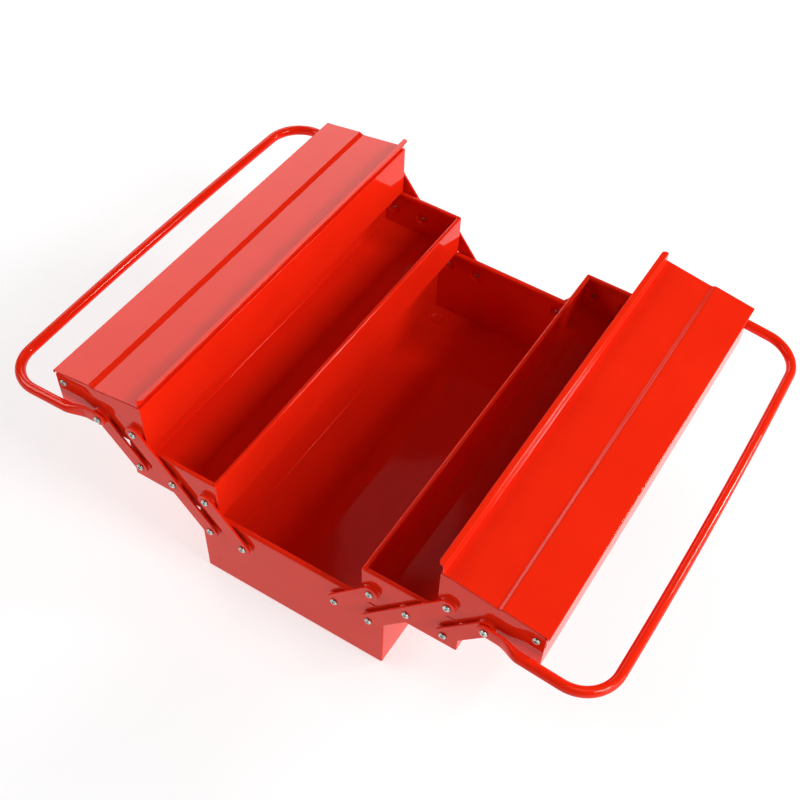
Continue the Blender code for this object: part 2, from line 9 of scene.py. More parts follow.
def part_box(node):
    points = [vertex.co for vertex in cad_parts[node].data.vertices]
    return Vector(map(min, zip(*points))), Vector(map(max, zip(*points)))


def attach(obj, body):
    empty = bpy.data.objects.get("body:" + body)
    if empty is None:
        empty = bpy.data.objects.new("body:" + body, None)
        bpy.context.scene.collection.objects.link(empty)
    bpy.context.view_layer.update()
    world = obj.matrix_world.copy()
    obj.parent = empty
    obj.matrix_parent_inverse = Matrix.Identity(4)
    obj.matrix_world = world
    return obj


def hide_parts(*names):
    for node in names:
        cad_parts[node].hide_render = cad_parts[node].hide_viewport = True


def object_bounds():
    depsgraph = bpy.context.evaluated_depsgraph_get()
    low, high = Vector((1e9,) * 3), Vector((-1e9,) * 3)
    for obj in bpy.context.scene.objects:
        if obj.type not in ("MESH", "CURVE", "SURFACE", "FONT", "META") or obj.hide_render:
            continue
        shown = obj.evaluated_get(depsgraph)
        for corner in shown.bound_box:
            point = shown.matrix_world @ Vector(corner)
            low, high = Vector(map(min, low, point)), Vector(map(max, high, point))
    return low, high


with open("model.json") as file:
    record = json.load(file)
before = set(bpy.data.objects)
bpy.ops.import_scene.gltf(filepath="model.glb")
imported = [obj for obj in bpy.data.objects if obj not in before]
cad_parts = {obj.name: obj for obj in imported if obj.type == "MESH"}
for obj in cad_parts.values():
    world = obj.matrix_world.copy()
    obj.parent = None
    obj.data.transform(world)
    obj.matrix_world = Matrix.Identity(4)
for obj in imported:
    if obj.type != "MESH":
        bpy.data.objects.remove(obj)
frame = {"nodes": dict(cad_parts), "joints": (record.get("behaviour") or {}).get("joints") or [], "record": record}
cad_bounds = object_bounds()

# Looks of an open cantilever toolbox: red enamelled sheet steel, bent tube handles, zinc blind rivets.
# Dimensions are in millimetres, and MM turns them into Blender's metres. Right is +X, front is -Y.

MM = 0.001
SIDES = {"right": 1, "left": -1}
ENDS = {"front": -1, "back": 1}

# sheet metal
SHEET = 1.0
BEND_RADIUS = 1.6
BEND_STEPS = 6
EDGE_RADIUS = 0.28
SHARP_FROM_DEG = 38.0
RIM_DROP = 4.5
BASE_RIM_WIDTH = 5.5
MID_RIM_WIDTH = 4.5
SEAM_WIDTH = 0.35
SEAM_INSET = 0.1
SEAM_REACH = 0.6
SEAM_PAST = 0.5

# round stand-off pressed out round every pivot, and the feet pressed out of the base
BOSS_FLAT_RADIUS = 6.4
BOSS_ROOT_RADIUS = 8.7
FOOT_FLAT_RADIUS = 5.6
FOOT_ROOT_RADIUS = 8.6
FOOT_HEIGHT = 1.5
FOOT_INSET_X = 14.0
FOOT_INSET_Y = 19.0
SWELL_SINK = 0.02
SWELL_ROOT_SHARE = 0.6
SWELL_NARROWER = 0.5
SWELL_STEPS = 12
ROUND_SIDES = 64

# top tray and lid, laid out from the hinge: u outward along the plate, n square to it
TOP_HEM_WIDTH = 4.0
TOP_OUTER_WALL_Z = 188.4
TOP_NOTCH_Z = 173.0
TOP_NOTCH_WIDTH = 2.0
ABOVE_WALL = 20.0
FOLD_REACH = 0.5
OUTER_UPRIGHT = 10.0
INNER_UPRIGHT = 30.0
LID_TILT_DEG = 8.8
LID_OUTER_U = 8.55
LID_OUTER_N = 12.25
LID_STEP_OUTER_U = -34.8
LID_STEP_INNER_U = -38.0
LID_INNER_N = 9.67
LID_FOLD_U = -88.85
LIP_ROOT_U = -90.1
LIP_EDGE_U = -96.2
LIP_N = 18.9
LIP_END_SETBACK = 0.3
LIP_CORNER_RADIUS = 4.0
LID_HEM_DEPTH = 3.2
LID_BEND_RADIUS = 1.2
LID_EAR_RADIUS = 6.0
LID_FLANGE_N = 2.5
LID_FLANGE_START_U = -12.0
LID_FLANGE_END_U = -80.0
LID_FLANGE_CHAMFER = 1.5
LID_CLEARANCE = 0.5

# handle: a bent tube with pressed ends
TUBE_RADIUS = 5.0
HANDLE_REACH = 109.0
HANDLE_CORNER_RADIUS = 36.6
HANDLE_BOW = 2.5
BLADE_HALF_WIDTH = 7.25
BLADE_STRAIGHT = 13.0
BLADE_BLEND_END = 34.0
BLADE_FLATNESS = 0.45
HANDLE_REST_DEG = {"right": -6.0, "left": -2.0}

# rivet
HEAD_RADIUS = 3.5
HEAD_HEIGHT = 1.6
SHANK_RADIUS = 1.6
TAIL_RADIUS = 2.55
TAIL_HEIGHT = 1.35
MANDREL_RADIUS = 1.3
RIVET_SIDES = 40


def corners(node):
    """Lowest and highest corner of a CAD node, in millimetres."""
    low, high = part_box(node)
    return low / MM, high / MM


def joint_place(name):
    joint = next(joint for joint in frame["joints"] if joint["name"] == name)
    return Vector(joint["pos_m"]) / MM


BODY_OF = {
    node: body
    for body, nodes in frame["record"]["behaviour"]["bodies"].items()
    for node in nodes
}

# pivots of the right side
BASE_OUTER = joint_place("fan_right")
BASE_INNER = joint_place("lower_swing_right")
MID_CENTRE = joint_place("mid_level_right")
MID_OUTER = joint_place("upper_swing_right")
TOP_INNER = joint_place("top_level_right")
TOP_OUTER = joint_place("handle_swing_right")
LID_HINGE = joint_place("lid_hinge_right")
STEP = MID_CENTRE - BASE_OUTER
MID_INNER = BASE_INNER + STEP

# layers at a pivot, out along Y from the middle
PANEL_OUT = corners("lid_right")[1].y
PANEL_IN = PANEL_OUT - SHEET
BOSS_OUT = corners("base_box")[1].y
BOSS_HEIGHT = BOSS_OUT - PANEL_OUT
LINK_IN = corners("long_link_right_back")[0].y
LINK_OUT = corners("long_link_right_back")[1].y
GAP = LINK_IN - BOSS_OUT
BLADE_IN = LINK_OUT + GAP
BLADE_OUT = corners("rivet_top_outer_right_back")[1].y - HEAD_HEIGHT - GAP
TUBE_AXIS_Y = corners("handle_right")[1].y - TUBE_RADIUS
LINK_WIDTH = 16.0
LINK_EDGE_RADIUS = 0.45
EAR_OUT = PANEL_IN - GAP
EAR_IN = EAR_OUT - SHEET


# ---------------------------------------------------------------- materials


class Nodes:
    """Short way to add and link shader nodes of one tree."""

    def __init__(self, tree):
        self.tree = tree

    def add(self, kind, **settings):
        node = self.tree.nodes.new(kind)
        for key, value in settings.items():
            setattr(node, key, value)
        return node

    def link(self, source, target):
        self.tree.links.new(source, target)

    def noise(self, vector, scale, detail=2.0, roughness=0.5):
        node = self.add("ShaderNodeTexNoise")
        node.inputs["Scale"].default_value = scale
        node.inputs["Detail"].default_value = detail
        node.inputs["Roughness"].default_value = roughness
        self.link(vector, node.inputs["Vector"])
        return node.outputs["Fac"]

    def spread(self, value, low, high, to_low, to_high):
        node = self.add("ShaderNodeMapRange")
        for name, number in (("From Min", low), ("From Max", high), ("To Min", to_low), ("To Max", to_high)):
            node.inputs[name].default_value = number
        self.link(value, node.inputs["Value"])
        return node.outputs["Result"]

    def mix(self, factor, first, second):
        node = self.add("ShaderNodeMix", data_type="RGBA")
        self.link(factor, node.inputs["Factor"])
        for socket, colour in ((node.inputs[6], first), (node.inputs[7], second)):
            if isinstance(colour, tuple):
                socket.default_value = colour
            else:
                self.link(colour, socket)
        return node.outputs[2]

    def math(self, operation, first, second):
        node = self.add("ShaderNodeMath", operation=operation)
        for socket, value in zip(node.inputs, (first, second)):
            if isinstance(value, float):
                socket.default_value = value
            else:
                self.link(value, socket)
        return node.outputs[0]

    def bump(self, height, distance, strength, normal=None):
        node = self.add("ShaderNodeBump")
        node.inputs["Distance"].default_value = distance
        node.inputs["Strength"].default_value = strength
        self.link(height, node.inputs["Height"])
        if normal is not None:
            self.link(normal, node.inputs["Normal"])
        return node.outputs["Normal"]


def new_material(name):
    material = bpy.data.materials.new(name)
    material.use_nodes = True
    nodes = Nodes(material.node_tree)
    shader = material.node_tree.nodes["Principled BSDF"]
    place = nodes.add("ShaderNodeTexCoord").outputs["Object"]
    return material, nodes, shader, place


# linear colours
WHITE = (1.0, 1.0, 1.0, 1.0)
ENAMEL_DEEP = (0.84, 0.030, 0.0062, 1.0)
ENAMEL_LIGHT = (0.875, 0.034, 0.0072, 1.0)
ENAMEL_DUST = (0.80, 0.16, 0.12, 1.0)
ENAMEL_IOR = 1.39
ZINC_BRIGHT = (0.66, 0.74, 0.70, 1.0)
ZINC_TARNISHED = (0.40, 0.47, 0.45, 1.0)
# near-black colours of the rivet's pin: painted shade for the dark hole in each rivet head
MANDREL_SHADE_DARK = (0.015, 0.013, 0.013, 1.0)
MANDREL_SHADE_LIGHT = (0.05, 0.045, 0.045, 1.0)
FLOOR_SHADE = (0.40, 0.40, 0.40, 1.0)
FLOOR_PALE = (0.42, 0.42, 0.42, 1.0)
FLOOR_GLOW = 0.66


def red_enamel():
    """Stoved gloss enamel: orange peel, slow sheet waviness, faint rubs and a few dust nibs."""
    material, nodes, shader, place = new_material("red_enamel")
    shader.inputs["IOR"].default_value = ENAMEL_IOR
    tone = nodes.noise(place, 22.0, 3.0)
    colour = nodes.mix(nodes.spread(tone, 0.3, 0.7, 0.0, 1.0), ENAMEL_DEEP, ENAMEL_LIGHT)
    nibs = nodes.add("ShaderNodeTexVoronoi")
    nibs.inputs["Scale"].default_value = 38.0
    nodes.link(place, nibs.inputs["Vector"])
    nib = nodes.spread(nibs.outputs["Distance"], 0.0, 0.022, 1.0, 0.0)
    dusted = nodes.mix(nodes.math("MULTIPLY", nib, 0.35), colour, ENAMEL_DUST)
    nodes.link(dusted, shader.inputs["Base Color"])

    stretched = nodes.add("ShaderNodeMapping")
    stretched.inputs["Rotation"].default_value = (0.3, 0.5, 0.9)
    stretched.inputs["Scale"].default_value = (1.0, 14.0, 14.0)
    nodes.link(place, stretched.inputs["Vector"])
    rubs = nodes.noise(stretched.outputs["Vector"], 60.0, 4.0, 0.65)
    rubbed = nodes.spread(rubs, 0.62, 0.78, 0.0, 0.05)
    haze = nodes.spread(nodes.noise(place, 14.0, 3.0), 0.3, 0.7, 0.045, 0.08)
    nodes.link(nodes.math("ADD", haze, rubbed), shader.inputs["Roughness"])

    wavy = nodes.bump(nodes.noise(place, 16.0, 1.0), 0.00035, 0.35)
    peel = nodes.bump(nodes.noise(place, 420.0, 2.0), 0.00006, 0.16, wavy)
    nibbed = nodes.bump(nib, 0.00006, 0.5, peel)
    nodes.link(nibbed, shader.inputs["Normal"])
    return material


def zinc():
    """Bright zinc plate with a fine turned grain and a little uneven tarnish."""
    material, nodes, shader, place = new_material("zinc_plate")
    shader.inputs["Metallic"].default_value = 1.0
    tarnish = nodes.spread(nodes.noise(place, 260.0, 3.0), 0.35, 0.7, 0.0, 1.0)
    colour = nodes.mix(tarnish, ZINC_BRIGHT, ZINC_TARNISHED)
    nodes.link(colour, shader.inputs["Base Color"])
    grain = nodes.noise(place, 900.0, 3.0)
    nodes.link(nodes.spread(grain, 0.3, 0.7, 0.2, 0.34), shader.inputs["Roughness"])
    nodes.link(nodes.bump(nodes.noise(place, 1800.0, 2.0), 0.00003, 0.25), shader.inputs["Normal"])
    return material


def mandrel_steel_painted_shade():
    """Dull broken end of the pin left inside a blind rivet, its colour painted near black as the shade down in the
    rivet's hole.
    """
    material, nodes, shader, place = new_material("mandrel_steel_painted_shade")
    shader.inputs["Metallic"].default_value = 0.3
    pin_noise = nodes.noise(place, 1500.0, 3.0)
    # painted shade: the pin's colour is near black so that the rivet's hole reads dark
    nodes.link(nodes.mix(pin_noise, MANDREL_SHADE_DARK, MANDREL_SHADE_LIGHT), shader.inputs["Base Color"])
    nodes.link(nodes.spread(pin_noise, 0.3, 0.7, 0.45, 0.7), shader.inputs["Roughness"])
    nodes.link(nodes.bump(pin_noise, 0.0001, 0.4), shader.inputs["Normal"])
    return material


def floor_paper():
    """White table lit from below, so that it stays nearly white where the object shades it."""
    material, nodes, shader, place = new_material("floor_paper")
    shade = nodes.spread(nodes.noise(place, 3.0, 2.0), 0.3, 0.7, 0.0, 1.0)
    nodes.link(nodes.mix(shade, FLOOR_SHADE, FLOOR_PALE), shader.inputs["Base Color"])
    shader.inputs["Roughness"].default_value = 0.9
    shader.inputs["Specular IOR Level"].default_value = 0.1
    shader.inputs["Emission Color"].default_value = WHITE
    shader.inputs["Emission Strength"].default_value = FLOOR_GLOW
    return material


RED = red_enamel()
ZINC = zinc()
MANDREL = mandrel_steel_painted_shade()


# ---------------------------------------------------------------- mesh tools


def mirrored(vector, side):
    return Vector((vector.x * side, vector.y, vector.z))


def new_object(name, mesh):
    obj = bpy.data.objects.new(name, mesh)
    bpy.context.scene.collection.objects.link(obj)
    return obj


def mesh_from_bmesh(name, bm):
    mesh = bpy.data.meshes.new(name)
    bm.to_mesh(mesh)
    bm.free()
    return mesh


def settle(obj):
    """Replace the object's mesh by what its modifiers make of it, and drop the tools they used."""
    bpy.context.view_layer.update()
    evaluated = obj.evaluated_get(bpy.context.evaluated_depsgraph_get())
    mesh = bpy.data.meshes.new_from_object(evaluated)
    tools = [modifier.object for modifier in obj.modifiers if modifier.type == "BOOLEAN"]
    obj.modifiers.clear()
    obj.data = mesh
    for tool in tools:
        bpy.data.objects.remove(tool, do_unlink=True)


def add_boolean(obj, tool, operation):
    modifier = obj.modifiers.new(tool.name, "BOOLEAN")
    modifier.operation = operation
    modifier.solver = "EXACT"
    modifier.object = tool


def add_bevel(obj, width, segments, angle_deg, clamp=True):
    bevel = obj.modifiers.new("rounding", "BEVEL")
    bevel.width = width * MM
    bevel.segments = segments
    bevel.limit_method = "ANGLE"
    bevel.angle_limit = math.radians(angle_deg)
    bevel.use_clamp_overlap = clamp
    bevel.miter_outer = "MITER_ARC"


def add_thickness(obj):
    solidify = obj.modifiers.new("sheet", "SOLIDIFY")
    solidify.thickness = SHEET * MM
    solidify.offset = -1.0
    solidify.use_even_offset = True


def show(obj, node, materials):
    """Finish a piece: smooth shading, material, the CAD node it stands for and the body it rides on."""
    for material in materials:
        obj.data.materials.append(material)
    obj.data.shade_smooth()
    obj.data.set_sharp_from_angle(angle=math.radians(SHARP_FROM_DEG))
    weighted = obj.modifiers.new("even_shading", "WEIGHTED_NORMAL")
    weighted.keep_sharp = True
    weighted.weight = 80
    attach(obj, BODY_OF[node])
    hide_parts(node)


def arc(centre_x, centre_z, radius, from_deg, to_deg, steps):
    points = []
    for k in range(steps + 1):
        angle = math.radians(from_deg + (to_deg - from_deg) * k / steps)
        points.append((centre_x + radius * math.cos(angle), centre_z + radius * math.sin(angle)))
    return points


def smoothstep(t):
    t = min(1.0, max(0.0, t))
    return t * t * (3.0 - 2.0 * t)


def curve_to_mesh(curve, name):
    """Mesh of a curve as it is evaluated, with its loose caps welded on."""
    holder = new_object(name, curve)
    bpy.context.view_layer.update()
    evaluated = holder.evaluated_get(bpy.context.evaluated_depsgraph_get())
    mesh = bpy.data.meshes.new_from_object(evaluated)
    bpy.data.objects.remove(holder, do_unlink=True)
    bm = bmesh.new()
    bm.from_mesh(mesh)
    bmesh.ops.remove_doubles(bm, verts=bm.verts, dist=0.000005)
    bmesh.ops.recalc_face_normals(bm, faces=bm.faces)
    bm.to_mesh(mesh)
    bm.free()
    return mesh


def outline_mesh(name, outline, thickness):
    """Flat outline as a filled curve extruded to `thickness` about its own plane."""
    curve = bpy.data.curves.new(name, "CURVE")
    curve.dimensions = "2D"
    curve.fill_mode = "BOTH"
    curve.extrude = thickness / 2 * MM
    spline = curve.splines.new("POLY")
    spline.points.add(len(outline) - 1)
    for point, (x, y) in zip(spline.points, outline):
        point.co = (x * MM, y * MM, 0.0, 1.0)
    spline.use_cyclic_u = True
    return curve_to_mesh(curve, name)


def panel(name, outline, y_low, y_high, side=1):
    """Outline drawn in XZ for the right side, between two Y positions; side -1 mirrors it."""
    mesh = outline_mesh(name, [(x * side, z) for x, z in outline], abs(y_high - y_low))
    upright = Matrix.Rotation(math.pi / 2, 4, "X")
    mesh.transform(Matrix.Translation((0.0, (y_low + y_high) / 2 * MM, 0.0)) @ upright)
    return new_object(name, mesh)


def face_corners(faces):
    """The vertices of some faces, each once and in the same order on every run."""
    return list(dict.fromkeys(vert for face in faces for vert in face.verts))


def lathe(bm, profile, frame_matrix, sides):
    """Turn a profile of (radius, height) about the local Z axis of frame_matrix, into bm."""
    verts = [bm.verts.new((radius * MM, 0.0, height * MM)) for radius, height in profile]
    edges = [bm.edges.new(pair) for pair in zip(verts, verts[1:])]
    before = set(bm.faces)
    bmesh.ops.spin(bm, geom=verts + edges, cent=(0.0, 0.0, 0.0), axis=(0.0, 0.0, 1.0),
                   angle=2 * math.pi, steps=sides, use_merge=True, use_duplicate=False)
    made = [face for face in bm.faces if face not in before]
    bmesh.ops.remove_doubles(bm, verts=face_corners(made), dist=0.000002)
    made = [face for face in bm.faces if face not in before]
    bmesh.ops.transform(bm, matrix=frame_matrix, verts=face_corners(made))
    return made


def swell_profile(flat_radius, root_radius, height, bottom):
    """Half section of a pressed swelling: flat top, S-shaped flank, then straight down to `bottom`."""
    profile = [(0.0, height)]
    for k in range(SWELL_STEPS + 1):
        t = k / SWELL_STEPS
        radius = flat_radius + (root_radius - flat_radius) * t
        profile.append((radius, height - (height + SWELL_SINK) * smoothstep(t)))
    profile.append((root_radius, bottom))
    profile.append((0.0, bottom))
    return profile


def swell_pair(flat_radius, root_radius, height):
    """Half sections of a swelling's outside, rooted within the sheet, and of the hollow behind it."""
    outside = swell_profile(flat_radius, root_radius, height, -SHEET * SWELL_ROOT_SHARE)
    hollow = swell_profile(flat_radius - SWELL_NARROWER, root_radius - SWELL_NARROWER, height, -SHEET)
    return outside, hollow


def swell_tool(name, places, profile):
    """One tool made of a turned swelling at each place; a place is (point, outward direction)."""
    bm = bmesh.new()
    for point, outward in places:
        turn = outward.to_track_quat("Z", "Y").to_matrix().to_4x4()
        lathe(bm, profile, Matrix.Translation(point * MM) @ turn, ROUND_SIDES)
    bmesh.ops.recalc_face_normals(bm, faces=bm.faces)
    return new_object(name, mesh_from_bmesh(name, bm))


def press_bosses(obj, pivots):
    """Stand-offs on both end panels at the pivots, hollow behind."""
    places = []
    backs = []
    for pivot in pivots:
        for end in ENDS.values():
            outward = Vector((0.0, end, 0.0))
            places.append((Vector((pivot.x, end * PANEL_OUT, pivot.z)), outward))
            backs.append((Vector((pivot.x, end * PANEL_IN, pivot.z)), outward))
    boss, hollow = swell_pair(BOSS_FLAT_RADIUS, BOSS_ROOT_RADIUS, BOSS_HEIGHT)
    add_boolean(obj, swell_tool(obj.name + "_bosses", places, boss), "UNION")
    add_boolean(obj, swell_tool(obj.name + "_hollows", backs, hollow), "DIFFERENCE")


def boxes_tool(name, boxes):
    """One tool made of plain boxes, each given by its low and high corner."""
    bm = bmesh.new()
    for low, high in boxes:
        centre = (Vector(low) + Vector(high)) / 2 * MM
        size = (Vector(high) - Vector(low)) * MM
        bmesh.ops.create_cube(bm, size=1.0, matrix=Matrix.LocRotScale(centre, None, size))
    return new_object(name, mesh_from_bmesh(name, bm))


# ---------------------------------------------------------------- trays


def folded_tray(name, low, high, rim_width):
    """Open box whose rim turns inward and then down, with bent corners and one sheet's thickness."""
    bm = bmesh.new()
    centre = (low + high) / 2 * MM
    bmesh.ops.create_cube(bm, size=1.0, matrix=Matrix.LocRotScale(centre, None, (high - low) * MM))
    top = max(bm.faces, key=lambda face: face.calc_center_median().z)
    bmesh.ops.delete(bm, geom=[top], context="FACES_ONLY")
    for inward, down in ((rim_width, 0.0), (0.0, RIM_DROP)):
        rim = [edge for edge in bm.edges if edge.is_boundary]
        grown = bmesh.ops.extrude_edge_only(bm, edges=rim)["geom"]
        for vert in (item for item in grown if isinstance(item, bmesh.types.BMVert)):
            vert.co.x -= math.copysign(inward * MM, vert.co.x - centre.x)
            vert.co.y -= math.copysign(inward * MM, vert.co.y)
            vert.co.z -= down * MM
    tray = new_object(name, mesh_from_bmesh(name, bm))
    add_bevel(tray, BEND_RADIUS, BEND_STEPS, 30.0)
    add_thickness(tray)
    return tray


def cut_rim_seams(tray, low, high, rim_width):
    """Hair gaps where the end panels' rims butt against the long walls' rims."""
    boxes = []
    for x in (low.x + rim_width + SEAM_INSET, high.x - rim_width - SEAM_INSET - SEAM_WIDTH):
        for end in ENDS.values():
            low_y, high_y = sorted((end * (PANEL_OUT - rim_width - SEAM_REACH), end * (PANEL_IN - SEAM_PAST)))
            low_corner = (x, low_y, high.z - RIM_DROP - SEAM_PAST)
            high_corner = (x + SEAM_WIDTH, high_y, high.z + SEAM_PAST)
            boxes.append((low_corner, high_corner))
    add_boolean(tray, boxes_tool(tray.name + "_seams", boxes), "DIFFERENCE")


def base_box():
    low, high = corners("base_box")
    low = Vector((low.x, -PANEL_OUT, low.z + FOOT_HEIGHT))
    high = Vector((high.x, PANEL_OUT, high.z))
    shell = folded_tray("base_shell", low, high, BASE_RIM_WIDTH)
    foot_x = high.x - FOOT_INSET_X
    foot_y = PANEL_OUT - FOOT_INSET_Y
    down = Vector((0.0, 0.0, -1.0))
    spots = [(x, y) for x in (-foot_x, foot_x) for y in (-foot_y, foot_y)]
    foot, dimple = swell_pair(FOOT_FLAT_RADIUS, FOOT_ROOT_RADIUS, FOOT_HEIGHT)
    feet = [(Vector((x, y, low.z)), down) for x, y in spots]
    dimples = [(Vector((x, y, low.z + SHEET)), down) for x, y in spots]
    add_boolean(shell, swell_tool("feet", feet, foot), "UNION")
    add_boolean(shell, swell_tool("dimples", dimples, dimple), "DIFFERENCE")
    pivots = [mirrored(pivot, side) for side in SIDES.values() for pivot in (BASE_INNER, BASE_OUTER)]
    press_bosses(shell, pivots)
    cut_rim_seams(shell, low, high, BASE_RIM_WIDTH)
    settle(shell)
    show(shell, "base_box", [RED])


def mid_tray(side_name):
    side = SIDES[side_name]
    low, high = corners("mid_tray_" + side_name)
    low.y, high.y = -PANEL_OUT, PANEL_OUT
    shell = folded_tray("mid_shell_" + side_name, low, high, MID_RIM_WIDTH)
    press_bosses(shell, [mirrored(pivot, side) for pivot in (MID_INNER, MID_CENTRE, MID_OUTER)])
    cut_rim_seams(shell, low, high, MID_RIM_WIDTH)
    settle(shell)
    show(shell, "mid_tray_" + side_name, [RED])


def from_hinge(u, n):
    """XZ point, on the right side, of a point given in the shut lid's own directions."""
    tilt = math.radians(LID_TILT_DEG)
    x = LID_HINGE.x + u * math.cos(tilt) + n * math.sin(tilt)
    z = LID_HINGE.z - u * math.sin(tilt) + n * math.cos(tilt)
    return (x, z)


def round_folds(obj, radius, is_fold):
    """Round those edges of a solid that are folds in the sheet."""
    bm = bmesh.new()
    bm.from_mesh(obj.data)
    bmesh.ops.dissolve_limit(bm, angle_limit=math.radians(1.0), verts=bm.verts, edges=bm.edges)
    folds = [edge for edge in bm.edges if is_fold(*(vert.co / MM for vert in edge.verts))]
    bmesh.ops.bevel(bm, geom=folds, offset=radius * MM, segments=BEND_STEPS, profile=0.5, affect="EDGES",
                    clamp_overlap=True)
    bm.to_mesh(obj.data)
    bm.free()


def top_outline(low, high):
    """Section of the top tray's outside, its end panels cut to the slope of the lid and clear of it."""
    high_n = LID_OUTER_N - SHEET - LID_CLEARANCE
    low_n = LID_INNER_N - SHEET - LID_CLEARANCE
    tilt = math.radians(LID_TILT_DEG)
    reach = (LID_HINGE.z + low_n * math.cos(tilt) - high.z) / math.sin(tilt)
    corner_deg = math.degrees(math.acos((high.x - LID_HINGE.x) / high_n))
    outline = [(low.x, low.z), (high.x, low.z)]
    outline += arc(LID_HINGE.x, LID_HINGE.z, high_n, corner_deg, 90.0 - LID_TILT_DEG, 12)
    outline.append(from_hinge(LID_STEP_OUTER_U + SHEET, high_n))
    outline.append(from_hinge(LID_STEP_INNER_U + SHEET, low_n))
    outline.append(from_hinge(reach, low_n))
    outline.append((low.x, high.z))
    return outline


def top_space(low, high, above):
    """Section of the space inside the top tray, which leaves the hem of the tall wall standing."""
    hem_x = low.x + TOP_HEM_WIDTH
    space = [(low.x + SHEET, low.z + SHEET), (high.x - SHEET, low.z + SHEET)]
    space += [(high.x - SHEET, above), (hem_x, above)]
    space += [(hem_x, high.z - RIM_DROP), (hem_x - SHEET, high.z - RIM_DROP)]
    space += [(hem_x - SHEET, high.z - SHEET), (low.x + SHEET, high.z - SHEET)]
    return space


def lower_outer_wall(shell, node, outer_x, above, side):
    """Cut the outer wall down to its height, and notch it beside the end panels."""
    low_x = outer_x - 2 * SHEET
    high_x = outer_x + 2 * SHEET
    trim = [(low_x, TOP_OUTER_WALL_Z), (high_x, TOP_OUTER_WALL_Z), (high_x, above), (low_x, above)]
    add_boolean(shell, panel(node + "_trim", trim, -PANEL_IN, PANEL_IN, side), "DIFFERENCE")
    notch = [(low_x, TOP_NOTCH_Z), (high_x, TOP_NOTCH_Z), (high_x, above), (low_x, above)]
    for end_name, end in ENDS.items():
        inner_y = end * (PANEL_IN - TOP_NOTCH_WIDTH)
        tool = panel(node + "_notch_" + end_name, notch, inner_y, end * PANEL_IN, side)
        add_boolean(shell, tool, "DIFFERENCE")


def top_tray(side_name):
    """Tray under the lid: tall hemmed inner wall, low outer wall, sloped end panels."""
    side = SIDES[side_name]
    node = "top_tray_" + side_name
    low, high = corners("top_tray_right")
    above = high.z + ABOVE_WALL
    shell = panel("top_shell_" + side_name, top_outline(low, high), -PANEL_OUT, PANEL_OUT, side)

    def is_outer_fold(first, second):
        near_wall = max(abs(first.x), abs(second.x)) < low.x + FOLD_REACH
        at_floor = max(first.z, second.z) < low.z + FOLD_REACH
        at_wall_top = min(first.z, second.z) > high.z - FOLD_REACH
        along_y = abs(first.y - second.y) > SHEET
        upright = abs(first.x - second.x) < FOLD_REACH and abs(first.z - second.z) > OUTER_UPRIGHT
        return at_floor or upright or (along_y and at_wall_top and near_wall)

    def is_inner_fold(first, second):
        at_floor = max(first.z, second.z) < low.z + SHEET + FOLD_REACH
        upright = abs(first.x - second.x) < FOLD_REACH and abs(first.z - second.z) > INNER_UPRIGHT
        return at_floor or upright

    round_folds(shell, BEND_RADIUS, is_outer_fold)
    space = panel(node + "_space", top_space(low, high, above), -PANEL_IN, PANEL_IN, side)
    round_folds(space, BEND_RADIUS - SHEET, is_inner_fold)
    add_boolean(shell, space, "DIFFERENCE")
    lower_outer_wall(shell, node, high.x, above, side)
    press_bosses(shell, [mirrored(pivot, side) for pivot in (TOP_INNER, TOP_OUTER)])
    settle(shell)
    show(shell, node, [RED])


# ---------------------------------------------------------------- lid


def lip_trim(name, side, end):
    """Tool that trims one end of the flat lip and rounds its free corner."""
    width = LIP_ROOT_U - LIP_EDGE_U
    start = 2 * SHEET
    stop = PANEL_OUT - LIP_END_SETBACK
    past = PANEL_OUT + SHEET
    r = LIP_CORNER_RADIUS
    outline = [(stop, start)] + arc(stop - r, width - r, r, 0.0, 90.0, 16)
    outline += [(stop - r, width + SHEET), (past, width + SHEET), (past, start)]
    mesh = outline_mesh(name, [(y * end, w) for y, w in outline], 4 * SHEET)
    root_x, root_z = from_hinge(LIP_ROOT_U, LIP_N - SHEET / 2)
    edge_x, edge_z = from_hinge(LIP_EDGE_U, LIP_N - SHEET / 2)
    inward = Vector(((edge_x - root_x) * side, 0.0, edge_z - root_z)).normalized()
    lengthwise = Vector((0.0, 1.0, 0.0))
    turn = Matrix((lengthwise, inward, lengthwise.cross(inward))).transposed().to_4x4()
    mesh.transform(Matrix.Translation(Vector((root_x * side, 0.0, root_z)) * MM) @ turn)
    return new_object(name, mesh)


